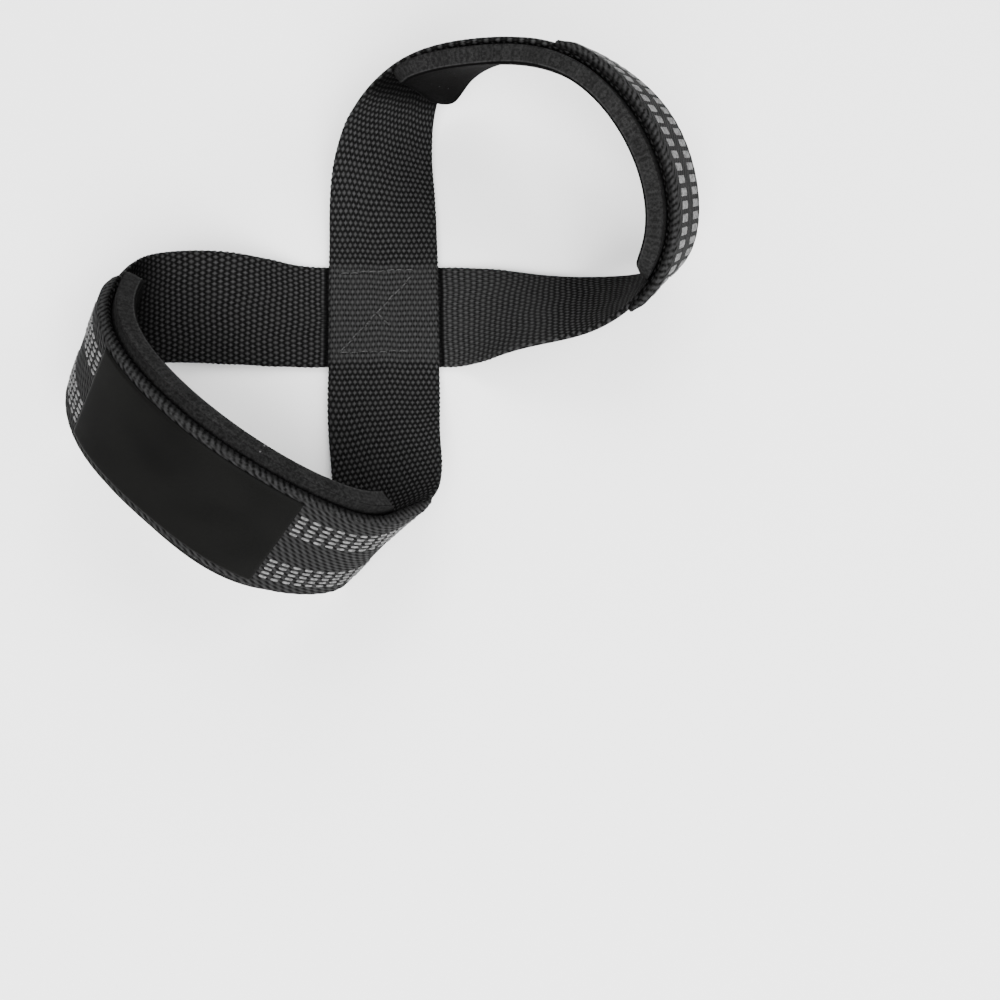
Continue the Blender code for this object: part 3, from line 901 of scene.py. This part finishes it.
def thread_look():
    """Twisted polyester thread, dark grey."""
    look, tree, shader = new_look("thread_grey", THREAD_ROUGHNESS)
    twist = object_noise(tree, THREAD_NOISE_SCALE)
    colour = blend(tree, fade(tree, twist, 0.3, 0.7), OVERLAY_SIDE, THREAD_GREY)
    finish_look(tree, shader, colour, THREAD_GLOSS, twist, THREAD_RELIEF)
    return look


def stitched_lines(name, lines, surface):
    """Stitches along straight lines on a level face: each dips into the cloth at both of its ends and bows
    up between them, (1 - dip x share^4) times the thread's radius, and strays out of line by a sine of its
    number."""
    share = np.linspace(-1, 1, STITCH_RINGS)
    middles, sides = [], []
    for _, start, end in lines:
        start, end = np.array(start), np.array(end)
        count = int(np.linalg.norm(end - start) / STITCH_PITCH)
        number = np.arange(count)
        way = unit(end - start)
        square = np.array([way[1], -way[0]])
        stray = square * (STITCH_STRAY * np.sin(number * STRAY_TURN))[:, None]
        centre = start + (end - start) * ((number + 0.5) / count)[:, None] + stray
        plan = centre[:, None] + way * (share * STITCH_LENGTH / 2)[:, None]
        height = np.broadcast_to(surface + THREAD_RADIUS * (1 - STITCH_DIP * share**4), plan.shape[:2])
        middles.append(np.concatenate([plan, height[..., None]], axis=-1))
        sides.append(np.broadcast_to([way[1], -way[0], 0.0], middles[-1].shape))
    middle, side = np.concatenate(middles), np.concatenate(sides)
    up = np.broadcast_to([0.0, 0.0, 1.0], middle.shape)
    size = np.full(middle.shape[:2], THREAD_RADIUS)
    piece = bars(name, middle, side, up, size, size, thread_look())
    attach(piece, "root")


stitched_lines("crossing_stitches", STITCH_LINES, HIGH_BAND_Z + WEB_THICK / 2 + WEAVE_HEIGHT / 2)

# The studio: a pale floor just under the strap, four wide soft lights on its four sides, the near one much
# the strongest, and a little light from all round. The camera stands over the near side and is aimed past
# the strap, so that the strap lies in the upper left of the picture.
FLOOR_GREY = (0.95, 0.95, 0.95, 1.0)
FLOOR_ROUGHNESS = 0.9
FLOOR_GLOSS = 0.1
FLOOR_HALF = 3.0
FLOOR_Z = -0.0003

# Each light's name, its place, the side of its square and its power in watts.
LIGHTS = (
    ("light_near", (0.0, -1.8, 1.9), 2.2, 270.0),
    ("light_far", (0.0, 1.8, 1.8), 1.8, 70.0),
    ("light_right", (1.8, 0.0, 1.8), 1.8, 52.0),
    ("light_left", (-1.8, 0.0, 1.8), 1.8, 24.0),
)

AIR_WHITE = (1.0, 1.0, 1.0, 1.0)
AIR_STRENGTH = 0.08
CAMERA_PLACE = Vector((0.0072, -0.2059, 0.4398))
CAMERA_AIM = Vector((0.0382, -0.0662, 0.0))
PICTURE_UP = Vector((0.029, 1.0, 0.0))
CAMERA_LENS = 50.08
CAMERA_NEAREST = 0.01
CAMERA_FARTHEST = 20.0


def pale_floor():
    """One square, level and matt."""
    mesh = bpy.data.meshes.new("floor")
    corners = [(x * FLOOR_HALF, y * FLOOR_HALF, FLOOR_Z) for x, y in ((-1, -1), (1, -1), (1, 1), (-1, 1))]
    mesh.from_pydata(corners, [], [(0, 1, 2, 3)])
    floor = bpy.data.objects.new("floor", mesh)
    bpy.context.scene.collection.objects.link(floor)
    paint, _, shader = new_look("floor_pale", FLOOR_ROUGHNESS)
    shader.inputs["Base Color"].default_value = FLOOR_GREY
    shader.inputs["Specular IOR Level"].default_value = FLOOR_GLOSS
    mesh.materials.append(paint)
    return floor


def soft_light(name, place, size, power):
    """A square area light that faces the origin."""
    data = bpy.data.lights.new(name, "AREA")
    data.size, data.energy = size, power
    light = bpy.data.objects.new(name, data)
    light.location = place
    light.rotation_euler = (-Vector(place)).to_track_quat("-Z", "Y").to_euler()
    bpy.context.scene.collection.objects.link(light)


pale_floor()
for name, place, size, power in LIGHTS:
    soft_light(name, place, size, power)
world = bpy.data.worlds.new("studio_air")
world.use_nodes = True
world.node_tree.nodes["Background"].inputs["Color"].default_value = AIR_WHITE
world.node_tree.nodes["Background"].inputs["Strength"].default_value = AIR_STRENGTH
bpy.context.scene.world = world

camera = bpy.data.objects.new("camera", bpy.data.cameras.new("camera"))
camera.data.lens = CAMERA_LENS
forward = (CAMERA_AIM - CAMERA_PLACE).normalized()
upright = (PICTURE_UP - PICTURE_UP.dot(forward) * forward).normalized()
turn = Matrix((forward.cross(upright), upright, -forward)).transposed()
camera.matrix_world = Matrix.Translation(CAMERA_PLACE) @ turn.to_4x4()
camera.data.clip_start = CAMERA_NEAREST
camera.data.clip_end = CAMERA_FARTHEST
bpy.context.scene.collection.objects.link(camera)
bpy.context.scene.camera = camera
